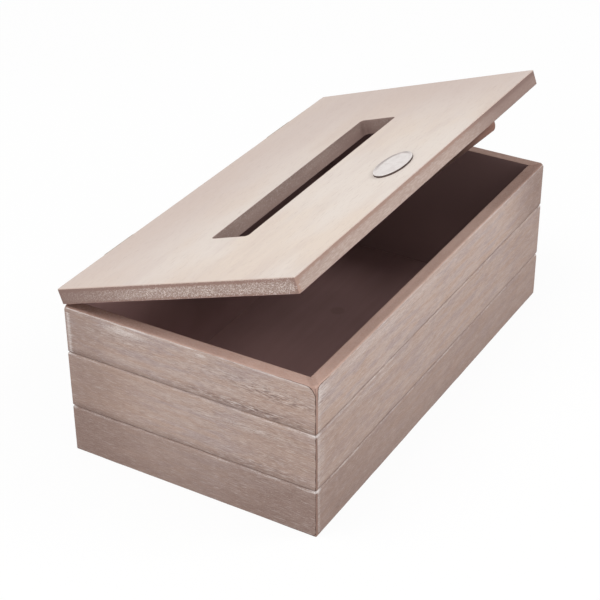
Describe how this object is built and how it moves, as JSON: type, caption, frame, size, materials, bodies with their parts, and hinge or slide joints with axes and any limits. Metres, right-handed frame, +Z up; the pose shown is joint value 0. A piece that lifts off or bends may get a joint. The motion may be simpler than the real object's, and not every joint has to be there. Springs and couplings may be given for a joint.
{
  "type": "tissue box",
  "caption": "Long rectangular tissue box of limed wood planks with a flat slotted lid hinged at the back, an oval metal plate on the lid and a dark stained inside.",
  "frame": {"origin": "centre of the underside of the body, on the surface that the box stands on", "axes": "+X along the length to the right end, -Y towards the lid's free front edge, +Y towards the hinges, +Z up"},
  "size_m": [0.25, 0.1402, 0.1355],
  "materials": {
    "limed_plank_wood": "brushed grain, white lime rubbed into pores and grooves, sanded brown edges, matt",
    "limed_lid_wood": "pale limed top face with faint lengthwise grain, speckled sawn edges, matt",
    "stained_board_wood": "dark brown stain, matt",
    "batten_wood": "brown stain, matt",
    "badge_metal": "satin silver",
    "hinge_metal": "aged nickel plate",
    "screw_metal": "satin steel"
  },
  "bodies": {
    "box": {"front_plank_bottom": "limed_plank_wood", "front_plank_middle": "limed_plank_wood", "front_plank_top": "limed_plank_wood", "rear_plank_bottom": "limed_plank_wood", "rear_plank_middle": "limed_plank_wood", "rear_plank_top": "limed_plank_wood", "left_plank_bottom": "limed_plank_wood", "left_plank_middle": "limed_plank_wood", "left_plank_top": "limed_plank_wood", "right_plank_bottom": "limed_plank_wood", "right_plank_middle": "limed_plank_wood", "right_plank_top": "limed_plank_wood", "bottom_board": "stained_board_wood", "left_hinge_body_leaf": "hinge_metal", "left_hinge_pin": "hinge_metal", "right_hinge_body_leaf": "hinge_metal", "right_hinge_pin": "hinge_metal", "hinge_screws_body": "screw_metal"},
    "lid": {"lid_board": "limed_lid_wood", "lid_front_batten": "batten_wood", "badge_plate": "badge_metal", "left_hinge_lid_leaf": "hinge_metal", "right_hinge_lid_leaf": "hinge_metal", "hinge_screws_lid": "screw_metal"}
  },
  "joints": [
    {"name": "lid_hinge", "type": "hinge", "parent": "box", "child": "lid", "pos_m": [0, 0.0691, 0.0829], "axis": [-1, 0, 0], "range_deg": [-19.1, 155.9]}
  ]
}
